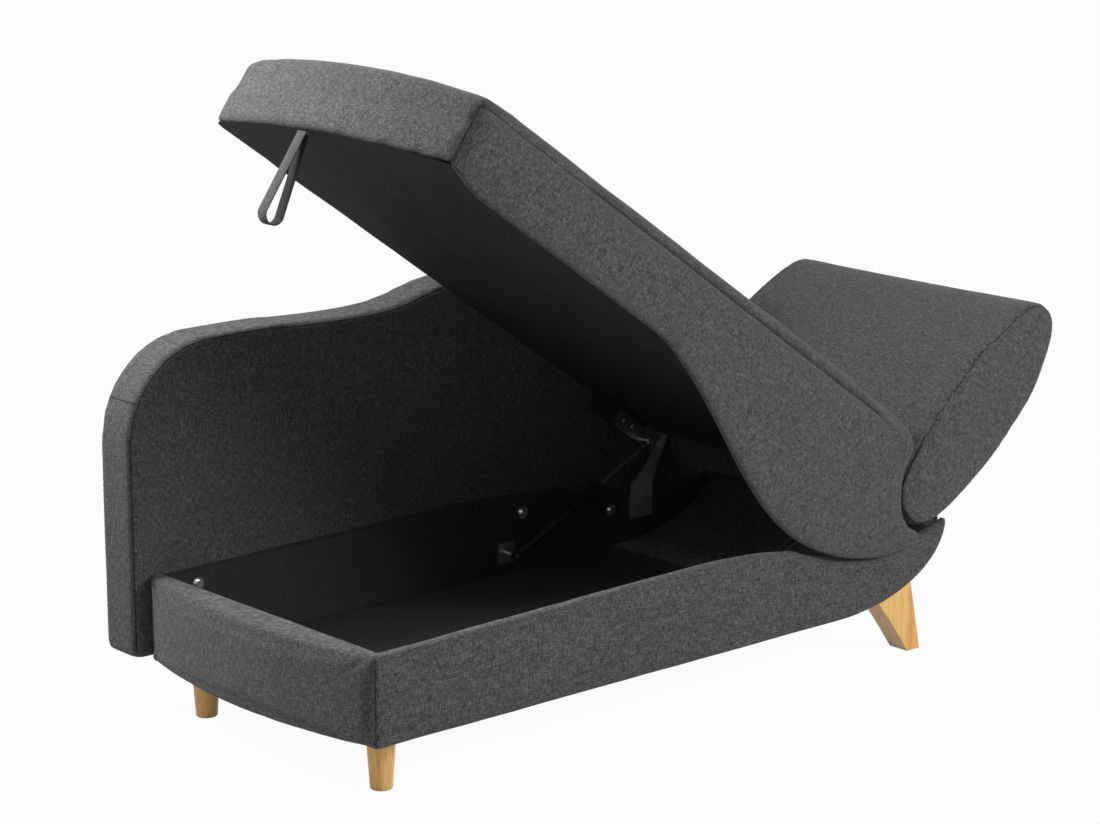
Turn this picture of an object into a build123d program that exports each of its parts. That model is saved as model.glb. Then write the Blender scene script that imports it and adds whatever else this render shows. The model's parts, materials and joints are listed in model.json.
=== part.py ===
from build123d import *
import os
from math import atan2, cos, hypot, radians, sin

# Chaise sofa bed, lid raised. Millimetres, X towards the head end, Y towards
# the back, Z up from the floor. Lengths along X and Y start at the front foot
# corner of the base.

# Where that corner lies in the object's frame
base_foot_x = -878.94
base_front_y = -396.0

# Base box
base_depth = 700.0
leg_height = 107.0
base_top_foot = 281.0
base_top_mid = 294.0
base_mid_x = 800.0
base_top_head = 276.0
base_drop_x = 1060.0
boat_start_x = 1190.0
boat_knee_x = 1350.0
boat_rise = (1500.0, 170.0)
boat_tip = (1505.0, 266.0)
cradle = (1275.0, 229.0)
foot_bow = 48.0
foot_rail = 28.0
cover_face = 8.0
cover_rim = 6.0
front_board_y = 26.0
rear_board_thick = 24.0
rear_board_y = base_depth - rear_board_thick
head_ply = 12.0
lining = 1.5
lining_end_x = 1030.0
leg_plate_thick = 3.0
floor_bottom = leg_height + leg_plate_thick
floor_thick = 12.0
cover_round = 4.0
overrun = 1.0

# Legs
foot_leg_x = 73.0
foot_leg_y = 79.0
foot_leg_top_r = 28.0
foot_leg_base_r = 21.0
leg_plate = 62.0
leg_stud_r = 4.0
leg_stud_length = 15.0
sabre_back_top = (1282.0, 150.0)
sabre_back_mid = (1351.0, 66.0)
sabre_back_foot = (1399.0, 0.0)
sabre_front_foot = (1434.0, 0.0)
sabre_front_top = (1394.0, 190.0)
sabre_y = 6.0
sabre_thick = 50.0

# Back panel
panel_y = base_depth
panel_pad = 40.0
panel_core = 30.0
panel_foot_x = -31.0
panel_head_x = 1480.0
panel_clear = 9.0
panel_bottom = leg_height + panel_clear
panel_foot_r = 150.0
panel_foot_top = 731.0
panel_dip = (400.0, 731.0)
panel_swell = (760.0, 760.0)
panel_head_r = 210.0
panel_head_top = 790.0
panel_round = 16.0
core_inset = 12.0
bolt_spots = [(95.0, 250.0), (927.0, 245.0), (1180.0, 205.0)]
bolt_r = 4.0
bolt_head_r = 8.0
bolt_head = 5.0
washer_r = 13.0
washer_thick = 2.0
bolt_into_core = 18.0

# Lid, drawn on a plane that turns with it about the hinge
hinge_x = 1348.0
hinge_z = 405.0
lid_slope = 34.8
lid_gap = 3.0
side_panel = 15.0
lid_front_y = -side_panel - lid_gap
lid_rear_y = base_depth - lid_gap
lid_under = -64.0
hem_v = -86.0
deck_thick = 9.0
rail_top = -24.0
dust_cover = 1.0
lid_foot_u = -1388.0
lid_foot_bow = 44.0
lid_foot_inner_u = -1372.0
seam_foot_v = 56.0
seam_head = (-120.0, 58.0)
foot_roll = 48.0
lid_end_top = (8.0, 62.0)
lid_end_lean = 6.0
lid_end_mid = (8.0, 0.0)
lid_end_low = (14.0, -24.0)
crown_rise = 30.0
shoulder_rise = 24.0
shoulder_in = 45.0
edge_rise = 2.0
front_rail_y = 21.0
rear_rail = 16.0
rear_rail_y = lid_rear_y - rear_rail
cross_rail = 40.0
head_rail_u = -62.0
brace_u = [-930.0, -480.0]
deck_notch_u = -235.0
deck_notch_y = 76.0

# Curved skirt of the front side panel
skirt_start_u = -800.0
skirt_ease_u = -600.0
skirt_dive_u = -400.0
skirt_low = (-205.0, -255.0)
skirt_turn_u = -80.0
skirt_rise = (60.0, -200.0)
lip_low = (126.0, -118.0)
lip_top = (120.0, -88.0)
notch_low = (92.0, -92.0)
notch_mid = (47.0, -76.0)
notch_high = (27.0, -46.0)

# Lift hinge, arms and gas struts
plate_thick = 4.0
plate_gap = 0.5
pin_r = 5.0
pin_fit = 0.05
boss_r = 12.0
boss_tilt = 4.0
bracket_foot = [(1234.0, 176.0), (1300.0, 176.0), (1300.0, 250.0)]
bracket_back = [(1288.0, 300.0), (1234.0, 250.0)]
block_u = (-202.0, -70.0)
arm_u = (-128.0, 32.0)
arm_v = (-104.0, -68.0)
arm_elbow_u = -42.0
screw_u = [-108.0, -78.0, -14.0, 16.0]
screw_v = -82.0
screw_r = 5.0
screw_head = 2.5
strut_foot = (880.0, 166.0)
strut_stud = (-40.0, -94.0)
strut_y = 60.0
eye_r = 10.0
eye_half = 5.0
stud_gap = 0.4
tube_r = 9.0
tube_length = 262.0
tube_start = 8.0
tube_floor = 20.0
rod_r = 4.0
rod_insert = 60.0
socket_r = 8.0
strut_plate = 44.0
strut_plate_thick = 3.0

# Bolster and its hinge
bolster_outline = [(22.0, -14.0), (26.0, 70.0), (52.0, 212.0), (104.0, 343.0), (166.0, 446.0),
                   (220.0, 468.0), (260.0, 424.0), (278.0, 300.0), (260.0, 170.0), (220.0, 54.0),
                   (172.0, -40.0), (118.0, -83.0), (66.0, -78.0), (36.0, -54.0)]
bolster_round = 5.0
bolster_pivot = (186.0, 12.0)
bolster_arm_y = 47.0
arm_half = 9.0
core_low = (176.0, 60.0)
core_high = (206.0, 400.0)
core_board = 20.0
leaf_top_v = 112.0
slot_y = (45.0, 57.0)
slot_far = 130.0
slot_clear = 4.0
slot_rise = 16.0
slot_drop = 60.0
slot_flare = 44.0
hinge_slot_y = (25.0, 57.0)
hinge_slot_u = (-66.0, 60.0)
hinge_slot_top = 16.0

# Pull strap
strap_u = -1424.0
strap_aside = 15.0
strap_y = base_depth / 2 + strap_aside
strap_width = 25.0
strap_thick = 2.5
strap_reach = 160.0
strap_bend_r = 22.0
strap_gap = 0.3
strap_neck_r = 5.0
strap_lean = 6.0

os.makedirs("parts", exist_ok=True)
mirror_y = front_board_y + rear_board_y
well_depth = rear_board_y - front_board_y
c_lid = cos(radians(lid_slope))
s_lid = sin(radians(lid_slope))


def save(builder, label):
    builder.part.label = label
    export_step(builder.part, f"parts/{label}.step")


def side_plane(y):
    """Plane across the width at y, drawn as length and height."""
    return Plane(origin=(base_foot_x, base_front_y + y, 0), x_dir=(1, 0, 0), z_dir=(0, -1, 0))


def lid_plane(y):
    """Plane across the width at y, tilted with the lid, with the hinge at its zero."""
    return Plane(
        origin=(base_foot_x + hinge_x, base_front_y + y, hinge_z),
        x_dir=(c_lid, 0, -s_lid),
        z_dir=(0, -1, 0),
    )


def deck_plane(v):
    """Plane parallel to the lid's underside, at height v over the hinge."""
    return Plane(
        origin=(base_foot_x + hinge_x + v * s_lid, base_front_y, hinge_z + v * c_lid),
        x_dir=(c_lid, 0, -s_lid),
        z_dir=(s_lid, 0, c_lid),
    )


def floor_plane(z):
    """Level plane at height z, drawn from the front foot corner."""
    return Plane(origin=(base_foot_x, base_front_y, z), x_dir=(1, 0, 0), z_dir=(0, 0, 1))


def lid_to_side(u, v):
    """Length and height of a lid point while the lid is raised."""
    return hinge_x + u * c_lid + v * s_lid, hinge_z - u * s_lid + v * c_lid


def prism(plane, points, depth):
    """Straight-edged plate."""
    with BuildPart() as blank:
        with BuildSketch(plane):
            with BuildLine():
                Polyline(*points, close=True)
            make_face()
        extrude(amount=depth)
    return blank.part


def base_side(inset, y, depth, from_x):
    """Slice of the base with its boat-shaped head end, drawn in by inset."""
    low = leg_height + inset
    rise = (boat_rise[0] - inset, boat_rise[1] + inset)
    tip = (boat_tip[0] - inset, boat_tip[1] - inset)
    drop = (base_drop_x, base_top_head - inset)
    crest = (base_mid_x, base_top_mid - inset)
    slope = (base_top_mid - base_top_foot) / base_mid_x
    start = (from_x, base_top_foot - inset + slope * from_x)
    with BuildPart() as blank:
        with BuildSketch(side_plane(y)):
            with BuildLine():
                Line((from_x, low), (boat_start_x, low))
                Bezier((boat_start_x, low), (boat_knee_x, low), rise, tip)
                ThreePointArc(tip, (cradle[0], cradle[1] - inset), drop)
                Polyline(drop, crest, start, (from_x, low))
            make_face()
        extrude(amount=depth)
    return blank.part


def foot_plan(inset, z, height):
    """Bowed foot end, straight on the inside."""
    with BuildPart() as blank:
        with BuildSketch(floor_plane(z)):
            with BuildLine():
                Line((foot_rail, inset), (inset, inset))
                bow = (inset - foot_bow, base_depth / 2)
                ThreePointArc((inset, inset), bow, (inset, base_depth - inset))
                Line((inset, base_depth - inset), (foot_rail, base_depth - inset))
                Line((foot_rail, base_depth - inset), (foot_rail, inset))
            make_face()
        extrude(amount=height)
    return blank.part


def cross_pin(spot, y, radius, depth):
    """Round pin along the width, from y towards the front by depth."""
    with BuildPart() as blank:
        with BuildSketch(side_plane(y)):
            with Locations(spot):
                Circle(radius)
        extrude(amount=depth)
    return blank.part


boat_cut = base_side(0, base_depth, base_depth, foot_rail)

# Base boards
with BuildPart() as front_board:
    add(base_side(cover_rim, front_board_y, front_board_y - cover_face, foot_rail))
save(front_board, "front_board")

with BuildPart() as rear_board:
    add(base_side(cover_rim, base_depth, base_depth - rear_board_y, foot_rail))
    for spot in bolt_spots:
        add(cross_pin(spot, base_depth + overrun, bolt_r + pin_fit, base_depth), mode=Mode.SUBTRACT)
save(rear_board, "rear_board")

with BuildPart() as foot_board:
    add(foot_plan(cover_face, leg_height + cover_rim, base_top_foot - leg_height - 2 * cover_rim))
save(foot_board, "foot_board")


def head_shell(outer, inner):
    """Curved skin of the head end between two insets, open at the top."""
    hollow = base_side(inner, rear_board_y, well_depth, foot_rail)
    with BuildPart() as shell:
        add(base_side(outer, rear_board_y, well_depth, foot_rail))
        add(hollow, mode=Mode.SUBTRACT)
        add(hollow.moved(Location((0, 0, 2 * inner))), mode=Mode.SUBTRACT)
        with Locations((base_foot_x + boat_start_x / 2, base_front_y + mirror_y / 2, leg_height)):
            Box(boat_start_x, base_depth, 2 * base_top_mid, mode=Mode.SUBTRACT)
    return shell.part


with BuildPart() as head_board:
    add(head_shell(cover_rim, cover_rim + head_ply))
save(head_board, "head_board")

# Padded covers of the base
with BuildPart() as front_cover:
    add(base_side(0, front_board_y, front_board_y, foot_rail))
    add(base_side(cover_rim, front_board_y, front_board_y - cover_face, 0), mode=Mode.SUBTRACT)
    fillet(front_cover.faces().sort_by(Axis.Y)[0].edges(), cover_round)
save(front_cover, "front_cover")

with BuildPart() as foot_cover:
    add(foot_plan(0, leg_height, base_top_foot - leg_height))
    add(foot_plan(cover_face, leg_height + cover_rim, base_top_foot - leg_height - 2 * cover_rim),
        mode=Mode.SUBTRACT)
    fillet(foot_cover.edges().filter_by(GeomType.CIRCLE).sort_by(Axis.Z)[-1], cover_round)
save(foot_cover, "foot_cover")

with BuildPart() as head_cover:
    add(head_shell(0, cover_rim))
save(head_cover, "head_cover")

# Storage well
with BuildPart() as storage_floor:
    with BuildSketch(floor_plane(floor_bottom)):
        with Locations(((foot_rail + boat_start_x) / 2, (front_board_y + rear_board_y) / 2)):
            Rectangle(boat_start_x - foot_rail, well_depth)
        for y in (foot_leg_y, mirror_y - foot_leg_y):
            with Locations((foot_leg_x, y)):
                Circle(leg_stud_r, mode=Mode.SUBTRACT)
    extrude(amount=floor_thick)
save(storage_floor, "storage_floor")

floor_top = floor_bottom + floor_thick
lining_top = base_top_head - cover_rim
lining_side = [
    (foot_rail, floor_top), (lining_end_x, floor_top), (lining_end_x, lining_top), (foot_rail, lining_top),
]
with BuildPart() as lining_front:
    add(prism(side_plane(front_board_y + lining), lining_side, lining))
save(lining_front, "lining_front")

with BuildPart() as lining_rear:
    add(prism(side_plane(rear_board_y), lining_side, lining))
    for spot in bolt_spots:
        add(cross_pin(spot, base_depth, bolt_r + pin_fit, base_depth), mode=Mode.SUBTRACT)
save(lining_rear, "lining_rear")

with BuildPart() as lining_foot:
    middle_z = (floor_top + lining_top) / 2
    with Locations((base_foot_x + foot_rail + lining / 2, base_front_y + mirror_y / 2, middle_z)):
        Box(lining, well_depth - 2 * lining, lining_top - floor_top)
save(lining_foot, "lining_foot")

# Foot legs with their plates
for name, y in (("front", foot_leg_y), ("rear", mirror_y - foot_leg_y)):
    with BuildPart() as foot_leg:
        with BuildSketch(floor_plane(0)):
            with Locations((foot_leg_x, y)):
                Circle(foot_leg_base_r)
        with BuildSketch(floor_plane(leg_height)):
            with Locations((foot_leg_x, y)):
                Circle(foot_leg_top_r)
        loft()
        fillet(foot_leg.edges().sort_by(Axis.Z)[0], cover_round)
        with BuildSketch(floor_plane(leg_height)):
            with Locations((foot_leg_x, y)):
                Circle(leg_stud_r)
        extrude(amount=leg_stud_length)
    save(foot_leg, f"foot_leg_{name}")

    with BuildPart() as foot_plate:
        with BuildSketch(floor_plane(leg_height)):
            with Locations((foot_leg_x, y)):
                RectangleRounded(leg_plate, leg_plate, cover_rim)
                Circle(leg_stud_r, mode=Mode.SUBTRACT)
        extrude(amount=leg_plate_thick)
    save(foot_plate, f"leg_plate_{name}")

# Curved head legs, cut to the boat-shaped underside
for name, y in (("front", sabre_y + sabre_thick), ("rear", mirror_y - sabre_y)):
    with BuildPart() as head_leg:
        with BuildSketch(side_plane(y)):
            with BuildLine():
                ThreePointArc(sabre_back_top, sabre_back_mid, sabre_back_foot)
                Line(sabre_back_foot, sabre_front_foot)
                Line(sabre_front_foot, sabre_front_top)
                Line(sabre_front_top, sabre_back_top)
            make_face()
        extrude(amount=sabre_thick)
        add(boat_cut, mode=Mode.SUBTRACT)
    save(head_leg, f"head_leg_{name}")


# Back panel: wooden core between two pads
def panel_slice(inset, y, depth):
    foot_x = panel_foot_x + inset
    head_x = panel_head_x - inset
    low = panel_bottom + inset
    foot_shoulder = panel_foot_top - panel_foot_r
    head_shoulder = panel_head_top - panel_head_r
    crest_from = (panel_foot_x + panel_foot_r, panel_foot_top - inset)
    crest_to = (panel_head_x - panel_head_r, panel_head_top - inset)
    dip = (panel_dip[0], panel_dip[1] - inset)
    swell = (panel_swell[0], panel_swell[1] - inset)
    with BuildPart() as blank:
        with BuildSketch(side_plane(y)):
            with BuildLine():
                Line((foot_x, low), (foot_x, foot_shoulder))
                RadiusArc((foot_x, foot_shoulder), crest_from, panel_foot_r - inset)
                Spline(crest_from, dip, swell, crest_to, tangents=[(1, 0), (1, 0)])
                RadiusArc(crest_to, (head_x, head_shoulder), panel_head_r - inset)
                Line((head_x, head_shoulder), (head_x, low))
                Line((head_x, low), (foot_x, low))
            make_face()
        extrude(amount=depth)
    return blank.part


core_y = panel_y + panel_pad
with BuildPart() as back_pad_front:
    add(panel_slice(0, core_y, panel_pad))
    fillet(back_pad_front.faces().sort_by(Axis.Y)[0].edges(), panel_round)
    for spot in bolt_spots:
        add(cross_pin(spot, core_y + overrun, bolt_r + pin_fit, base_depth), mode=Mode.SUBTRACT)
save(back_pad_front, "back_pad_front")

with BuildPart() as back_core:
    add(panel_slice(core_inset, core_y + panel_core, panel_core))
    for spot in bolt_spots:
        add(cross_pin(spot, core_y + bolt_into_core, bolt_r, base_depth), mode=Mode.SUBTRACT)
save(back_core, "back_core")

with BuildPart() as back_pad_rear:
    add(panel_slice(0, core_y + panel_core + panel_pad, panel_pad))
    fillet(back_pad_rear.faces().sort_by(Axis.Y)[-1].edges(), panel_round)
save(back_pad_rear, "back_pad_rear")

for number, spot in enumerate(bolt_spots, 1):
    bolt_seat = rear_board_y - (lining if spot[0] < lining_end_x else 0)
    with BuildPart() as back_bolt:
        add(cross_pin(spot, core_y + bolt_into_core, bolt_r, core_y + bolt_into_core - bolt_seat))
        add(cross_pin(spot, bolt_seat, washer_r, washer_thick))
        add(cross_pin(spot, bolt_seat - washer_thick, bolt_head_r, bolt_head))
    save(back_bolt, f"back_bolt_{number}")

# Lid frame
with BuildPart() as seat_deck:
    with BuildSketch(deck_plane(lid_under)):
        with BuildLine():
            Polyline(
                (lid_foot_inner_u, side_panel + lid_front_y), (deck_notch_u, side_panel + lid_front_y),
                (deck_notch_u, deck_notch_y), (head_rail_u + cross_rail, deck_notch_y),
                (head_rail_u + cross_rail, mirror_y - deck_notch_y), (deck_notch_u, mirror_y - deck_notch_y),
                (deck_notch_u, lid_rear_y), (lid_foot_inner_u, lid_rear_y), close=True,
            )
        make_face()
    extrude(amount=deck_thick)
save(seat_deck, "seat_deck")

with BuildPart() as lid_dust_cover:
    with BuildSketch(deck_plane(lid_under)):
        with BuildLine():
            Polyline(
                (lid_foot_inner_u, side_panel + lid_front_y), (deck_notch_u, side_panel + lid_front_y),
                (deck_notch_u, deck_notch_y), (head_rail_u + cross_rail, deck_notch_y),
                (head_rail_u + cross_rail, mirror_y - deck_notch_y), (deck_notch_u, mirror_y - deck_notch_y),
                (deck_notch_u, lid_rear_y), (lid_foot_inner_u, lid_rear_y), close=True,
            )
        make_face()
    extrude(amount=-dust_cover)
save(lid_dust_cover, "lid_dust_cover")

deck_top = lid_under + deck_thick


def lid_beam(u_from, u_to, v_from, y_from, y_to):
    """Straight beam of the lid frame, up to the cushion."""
    corners = [(u_from, v_from), (u_to, v_from), (u_to, rail_top), (u_from, rail_top)]
    return prism(lid_plane(y_to), corners, y_to - y_from)


for name, y_from, y_to in (
    ("front", lid_front_y + side_panel, front_rail_y),
    ("rear", rear_rail_y, lid_rear_y),
):
    with BuildPart() as seat_rail:
        add(lid_beam(lid_foot_inner_u, head_rail_u + cross_rail, deck_top, y_from, y_to))
    save(seat_rail, f"seat_rail_{name}")

for name, u, y_from, y_to in (
    ("seat_rail_foot", lid_foot_inner_u, front_rail_y, rear_rail_y),
    ("seat_brace_foot", brace_u[0], front_rail_y, rear_rail_y),
    ("seat_brace_head", brace_u[1], front_rail_y, rear_rail_y),
    ("seat_rail_head", head_rail_u, bolster_arm_y + plate_thick, mirror_y - bolster_arm_y - plate_thick),
):
    with BuildPart() as cross_piece:
        add(lid_beam(u, u + cross_rail, deck_top, y_from, y_to))
    save(cross_piece, name)


# Crowned seat cushion with a bowed foot end and a skirt over the foot rail
def seat_section(y, rise, bow):
    foot_u = lid_foot_u - bow
    with BuildSketch(lid_plane(y)) as section:
        with BuildLine():
            Line(lid_end_low, (lid_foot_inner_u, rail_top))
            Line((lid_foot_inner_u, rail_top), (lid_foot_inner_u, lid_under))
            Line((lid_foot_inner_u, lid_under), (foot_u, lid_under))
            Line((foot_u, lid_under), (foot_u, seam_foot_v))
            crest = (foot_u + foot_roll, seam_foot_v + rise)
            roll = [(foot_u, crest[1]), (foot_u + foot_roll / 3, crest[1])]
            top = (seam_head[0], seam_head[1] + rise)
            end = [(lid_end_top[0], top[1]), (lid_end_top[0] + lid_end_lean, lid_end_top[1])]
            Bezier((foot_u, seam_foot_v), *roll, crest)
            Line(crest, top)
            Bezier(top, *end, lid_end_mid)
            Line(lid_end_mid, lid_end_low)
        make_face()
    return section.sketch


lid_width = lid_rear_y - lid_front_y
with BuildPart() as seat_cushion:
    for share, rise, bow in (
        (0, edge_rise, 0),
        (shoulder_in / lid_width, shoulder_rise, lid_foot_bow / 4),
        (1 / 2, crown_rise, lid_foot_bow),
        (1 - shoulder_in / lid_width, shoulder_rise, lid_foot_bow / 4),
        (1, edge_rise, 0),
    ):
        add(seat_section(lid_front_y + share * lid_width, rise, bow))
    loft()
    for y_from, y_to in (hinge_slot_y, (mirror_y - hinge_slot_y[1], mirror_y - hinge_slot_y[0])):
        hollow = [(hinge_slot_u[0], rail_top - overrun), (hinge_slot_u[1], rail_top - overrun),
                  (hinge_slot_u[1], hinge_slot_top), (hinge_slot_u[0], hinge_slot_top)]
        add(prism(lid_plane(y_to), hollow, y_to - y_from), mode=Mode.SUBTRACT)
save(seat_cushion, "seat_cushion")

# Front side panel with its curved skirt and the lip under the bolster
with BuildPart() as seat_side_panel:
    with BuildSketch(lid_plane(lid_front_y + side_panel)):
        with BuildLine():
            Line((lid_foot_inner_u, rail_top), lid_end_low)
            Line(lid_end_low, notch_high)
            ThreePointArc(notch_high, notch_mid, notch_low)
            Line(notch_low, lip_top)
            Line(lip_top, lip_low)
            Bezier(lip_low, skirt_rise, (skirt_turn_u, skirt_low[1]), skirt_low)
            sweep = [(skirt_dive_u, skirt_low[1]), (skirt_ease_u, hem_v)]
            Bezier(skirt_low, *sweep, (skirt_start_u, hem_v))
            Line((skirt_start_u, hem_v), (lid_foot_inner_u, hem_v))
            Line((lid_foot_inner_u, hem_v), (lid_foot_inner_u, rail_top))
        make_face()
    extrude(amount=side_panel)
save(seat_side_panel, "seat_side_panel")

# Lift hinge on each side: base bracket with pin, lid arm, wooden block, strut
bracket_y = front_board_y
strut_plate_y = front_board_y + lining
arm_y = bracket_y + plate_thick + plate_gap
arm_inner_y = arm_y + plate_thick
stud_end_y = strut_y - eye_half - stud_gap
hinge_spot = (hinge_x, hinge_z)
stud_spot = lid_to_side(*strut_stud)
strut_run = (stud_spot[0] - strut_foot[0], stud_spot[1] - strut_foot[1])
strut_length = hypot(*strut_run)
strut_angle = atan2(strut_run[1], strut_run[0])


def to_side(name, part):
    """Front parts as drawn, rear parts mirrored across the base."""
    if name == "front":
        return part
    return mirror(part, about=Plane(origin=(0, base_front_y + mirror_y / 2, 0), z_dir=(0, 1, 0)))


def strut_plane(reach):
    """Plane across the strut at a distance from its foot."""
    return Plane(
        origin=(
            base_foot_x + strut_foot[0] + reach * cos(strut_angle),
            base_front_y + strut_y,
            strut_foot[1] + reach * sin(strut_angle),
        ),
        x_dir=(0, 1, 0),
        z_dir=(cos(strut_angle), 0, sin(strut_angle)),
    )


bracket_top = [(hinge_x + boss_r, hinge_z - boss_tilt), (hinge_x - boss_r, hinge_z + boss_tilt)]
with BuildPart() as bracket_blank:
    add(prism(side_plane(bracket_y + plate_thick),
              [*bracket_foot, *bracket_top, *bracket_back],
              plate_thick))
    add(cross_pin(hinge_spot, bracket_y + plate_thick, boss_r, plate_thick))
    add(cross_pin(hinge_spot, arm_inner_y + overrun, pin_r, arm_inner_y + overrun - bracket_y))

with BuildPart() as arm_blank:
    add(prism(lid_plane(arm_inner_y),
              [(arm_u[0], arm_v[0]), (arm_u[1], arm_v[0]), (arm_u[1], arm_v[1]), (boss_r, -boss_tilt),
               (-boss_r, boss_tilt), (arm_elbow_u, arm_v[1]), (arm_u[0], arm_v[1])], plate_thick))
    add(cross_pin(hinge_spot, arm_inner_y, boss_r, plate_thick))
    add(cross_pin(hinge_spot, arm_inner_y + overrun, pin_r + pin_fit, plate_thick + 2 * overrun),
        mode=Mode.SUBTRACT)
    for u in screw_u:
        spot = lid_to_side(u, screw_v)
        add(cross_pin(spot, arm_inner_y + screw_head, screw_r, screw_head))
    add(cross_pin(stud_spot, stud_end_y, pin_r, stud_end_y - arm_inner_y))

with BuildPart() as block_blank:
    add(lid_beam(block_u[0], block_u[1], arm_v[0], front_rail_y, arm_y))

with BuildPart() as strut_base_blank:
    half = strut_plate / 2
    add(prism(side_plane(strut_plate_y + strut_plate_thick),
              [(strut_foot[0] - half, strut_foot[1] - half), (strut_foot[0] + half, strut_foot[1] - half),
               (strut_foot[0] + half, strut_foot[1] + half), (strut_foot[0] - half, strut_foot[1] + half)],
              strut_plate_thick))
    pin_end_y = strut_y + eye_half + overrun
    add(cross_pin(strut_foot, pin_end_y, pin_r, pin_end_y - strut_plate_y))

with BuildPart() as tube_blank:
    with BuildSketch(strut_plane(tube_start)):
        Circle(tube_r)
    extrude(amount=tube_length - tube_start)
    add(cross_pin(strut_foot, strut_y + eye_half, eye_r, 2 * eye_half))
    with BuildSketch(strut_plane(tube_floor)):
        Circle(rod_r + pin_fit)
    extrude(amount=tube_length, mode=Mode.SUBTRACT)
    add(cross_pin(strut_foot, strut_y + tube_r + overrun, pin_r + pin_fit, 2 * (tube_r + overrun)),
        mode=Mode.SUBTRACT)

with BuildPart() as rod_blank:
    with BuildSketch(strut_plane(tube_length - rod_insert)):
        Circle(rod_r)
    extrude(amount=strut_length - tube_length + rod_insert)
    add(cross_pin(stud_spot, strut_y + eye_half, socket_r, 2 * eye_half))

for name in ("front", "rear"):
    for label, blank in (
        ("hinge_bracket", bracket_blank), ("lift_arm", arm_blank), ("hinge_block", block_blank),
        ("strut_bracket", strut_base_blank), ("strut_tube", tube_blank), ("strut_rod", rod_blank),
    ):
        with BuildPart() as fitting:
            add(to_side(name, blank.part))
        save(fitting, f"{label}_{name}")

# Bolster: arms on the lid, hinge leaves, core board and teardrop cushion
pivot_spot = lid_to_side(*bolster_pivot)
arm_top_y = bolster_arm_y + plate_thick
leaf_y = arm_top_y + plate_gap

with BuildPart() as bolster_arm_blank:
    add(prism(lid_plane(arm_top_y),
              [(head_rail_u, deck_top), (head_rail_u + cross_rail, deck_top),
               (bolster_pivot[0] + arm_half / 2, bolster_pivot[1] - arm_half),
               (bolster_pivot[0] - arm_half / 2, bolster_pivot[1] + arm_half),
               (head_rail_u + cross_rail, rail_top), (head_rail_u, rail_top)], plate_thick))
    add(cross_pin(pivot_spot, arm_top_y, boss_r, plate_thick))
    add(cross_pin(pivot_spot, arm_top_y + overrun, pin_r + pin_fit, plate_thick + 2 * overrun),
        mode=Mode.SUBTRACT)

lean = (core_high[0] - core_low[0]) / (core_high[1] - core_low[1])
leaf_top_u = core_low[0] + lean * (leaf_top_v - core_low[1])
leaf_outline = [(bolster_pivot[0] - boss_r, bolster_pivot[1]), (bolster_pivot[0] + boss_r, bolster_pivot[1]),
                (leaf_top_u + core_board, leaf_top_v), (leaf_top_u, leaf_top_v)]
core_outline = [core_low, (core_low[0] + core_board, core_low[1]),
                (core_high[0] + core_board, core_high[1]), core_high]

with BuildPart() as bolster_leaf_blank:
    add(prism(lid_plane(leaf_y + plate_thick), leaf_outline, plate_thick))
    add(cross_pin(pivot_spot, leaf_y + plate_thick, boss_r, plate_thick))
    add(cross_pin(pivot_spot, leaf_y, pin_r, leaf_y - bolster_arm_y + overrun))

for name in ("front", "rear"):
    for label, blank in (("bolster_arm", bolster_arm_blank), ("bolster_leaf", bolster_leaf_blank)):
        with BuildPart() as fitting:
            add(to_side(name, blank.part))
        save(fitting, f"{label}_{name}")

core_end_y = leaf_y + plate_thick
with BuildPart() as bolster_core:
    add(prism(lid_plane(mirror_y - core_end_y), core_outline, mirror_y - 2 * core_end_y))
save(bolster_core, "bolster_core")

slot_outline = [
    (bolster_pivot[0] - boss_r, bolster_pivot[1] + boss_r + slot_clear),
    (-slot_far, bolster_pivot[1] - slot_drop),
    (-slot_far, -slot_far),
    (bolster_pivot[0] + slot_flare, -slot_far),
    (bolster_pivot[0] + boss_r + slot_clear, bolster_pivot[1] - slot_clear),
    (bolster_pivot[0] + boss_r, bolster_pivot[1] + slot_rise),
]
with BuildPart() as bolster_cushion:
    with BuildSketch(lid_plane(lid_rear_y)):
        with BuildLine():
            Spline(*bolster_outline, periodic=True)
        make_face()
    extrude(amount=lid_width)
    fillet(bolster_cushion.faces().sort_by(Axis.Y)[0].edges(), bolster_round)
    fillet(bolster_cushion.faces().sort_by(Axis.Y)[-1].edges(), bolster_round)
    add(bolster_core.part, mode=Mode.SUBTRACT)
    for name in ("front", "rear"):
        slot = prism(lid_plane(slot_y[1]), slot_outline, slot_y[1] - slot_y[0])
        add(to_side(name, slot), mode=Mode.SUBTRACT)
        add(to_side(name, bolster_leaf_blank.part), mode=Mode.SUBTRACT)
save(bolster_cushion, "bolster_cushion")

# Pull strap: a flat loop hanging from the lid's foot edge
neck = (strap_u, lid_under - strap_gap - strap_neck_r)
bend = (neck[0] + strap_reach * sin(radians(strap_lean)), neck[1] - strap_reach * cos(radians(strap_lean)))
with BuildPart() as pull_strap:
    with BuildSketch(lid_plane(strap_y + strap_width / 2)) as loop:
        with Locations(neck):
            Circle(strap_neck_r)
        with Locations(bend):
            Circle(strap_bend_r)
        make_hull()
        offset(amount=-strap_thick, mode=Mode.SUBTRACT)
    extrude(amount=strap_width)
save(pull_strap, "pull_strap")
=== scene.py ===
import json
from math import cos, pi, radians, sin, sqrt

import bmesh
import bpy
import numpy as np
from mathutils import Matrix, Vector, noise
from mathutils.kdtree import KDTree


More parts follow.
